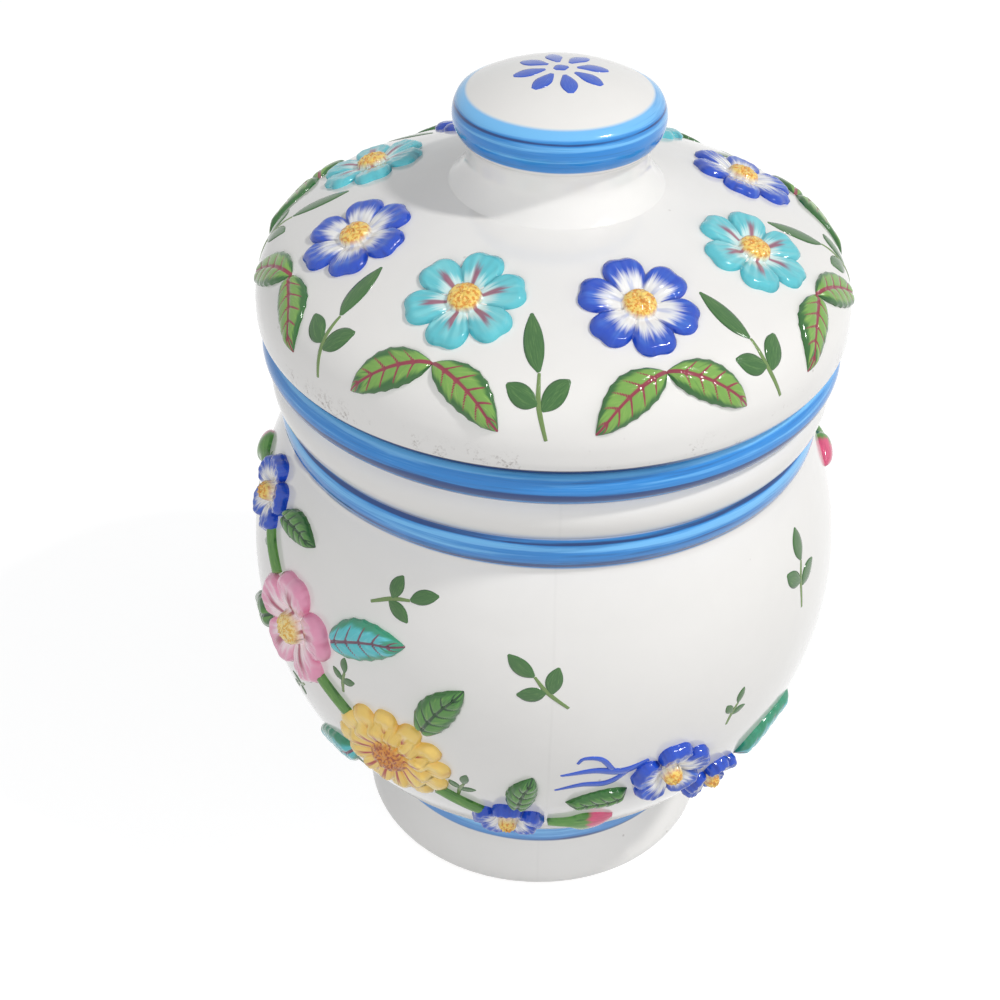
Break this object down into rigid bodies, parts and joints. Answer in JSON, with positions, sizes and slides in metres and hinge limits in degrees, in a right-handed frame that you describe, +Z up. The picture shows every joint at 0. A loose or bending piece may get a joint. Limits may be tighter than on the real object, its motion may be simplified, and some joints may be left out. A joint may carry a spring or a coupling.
{
  "type": "storage jar",
  "caption": "Footed round-bellied ceramic storage jar with a domed lid, mushroom knob and moulded flowers.",
  "frame": {"origin": "centre of the foot's underside, on the table", "axes": "+Z up along the jar's axis, -Y the front, +X to the right seen from the front"},
  "size_m": [0.182, 0.1834, 0.2596],
  "materials": {
    "white_glaze": "warm white gloss glaze",
    "pink_glaze": "pink and crimson painted gloss glaze",
    "yellow_glaze": "soft yellow painted gloss glaze",
    "blue_glaze": "cobalt and sky blue painted gloss glaze",
    "turquoise_glaze": "turquoise painted gloss glaze",
    "green_glaze": "leaf green painted gloss glaze"
  },
  "bodies": {
    "jar": {"back_bunch_big_flower": "blue_glaze", "back_bunch_leaf_green": "green_glaze", "back_bunch_leaf_turquoise": "turquoise_glaze", "back_bunch_small_flower": "blue_glaze", "back_green_leaf_low": "green_glaze", "back_green_leaf_middle": "green_glaze", "back_green_leaf_top": "green_glaze", "back_green_leaf_upper": "green_glaze", "back_lower_blue_flower": "blue_glaze", "back_pink_blossom": "pink_glaze", "back_pink_bud_low": "pink_glaze", "back_pink_bud_top": "pink_glaze", "back_stem_lower": "green_glaze", "back_stem_middle": "green_glaze", "back_stem_upper": "green_glaze", "back_turquoise_leaf_middle": "turquoise_glaze", "back_turquoise_leaf_upper": "turquoise_glaze", "back_upper_blue_flower": "blue_glaze", "back_yellow_daisy": "yellow_glaze", "front_bunch_big_flower": "blue_glaze", "front_bunch_leaf_green": "green_glaze", "front_bunch_leaf_turquoise": "turquoise_glaze", "front_bunch_small_flower": "blue_glaze", "front_green_leaf_low": "green_glaze", "front_green_leaf_middle": "green_glaze", "front_green_leaf_top": "green_glaze", "front_green_leaf_upper": "green_glaze", "front_lower_blue_flower": "blue_glaze", "front_pink_blossom": "pink_glaze", "front_pink_bud_low": "pink_glaze", "front_pink_bud_top": "pink_glaze", "front_stem_lower": "green_glaze", "front_stem_middle": "green_glaze", "front_stem_upper": "green_glaze", "front_turquoise_leaf_middle": "turquoise_glaze", "front_turquoise_leaf_upper": "turquoise_glaze", "front_upper_blue_flower": "blue_glaze", "front_yellow_daisy": "yellow_glaze", "jar_body": "white_glaze"},
    "lid": {"lid_dome": "white_glaze", "lid_flower_1": "blue_glaze", "lid_flower_2": "blue_glaze", "lid_flower_3": "blue_glaze", "lid_flower_4": "blue_glaze", "lid_flower_5": "blue_glaze", "lid_flower_6": "blue_glaze", "lid_flower_7": "blue_glaze", "lid_flower_8": "blue_glaze", "lid_knob": "white_glaze", "lid_leaves_1": "green_glaze", "lid_leaves_2": "green_glaze", "lid_leaves_3": "green_glaze", "lid_leaves_4": "green_glaze", "lid_leaves_5": "green_glaze", "lid_leaves_6": "green_glaze", "lid_leaves_7": "green_glaze", "lid_leaves_8": "green_glaze"}
  },
  "joints": [
    {"name": "lid_lift", "type": "slide", "parent": "jar", "child": "lid", "axis": [0, 0, 1], "range_m": [0, 0.08]}
  ]
}
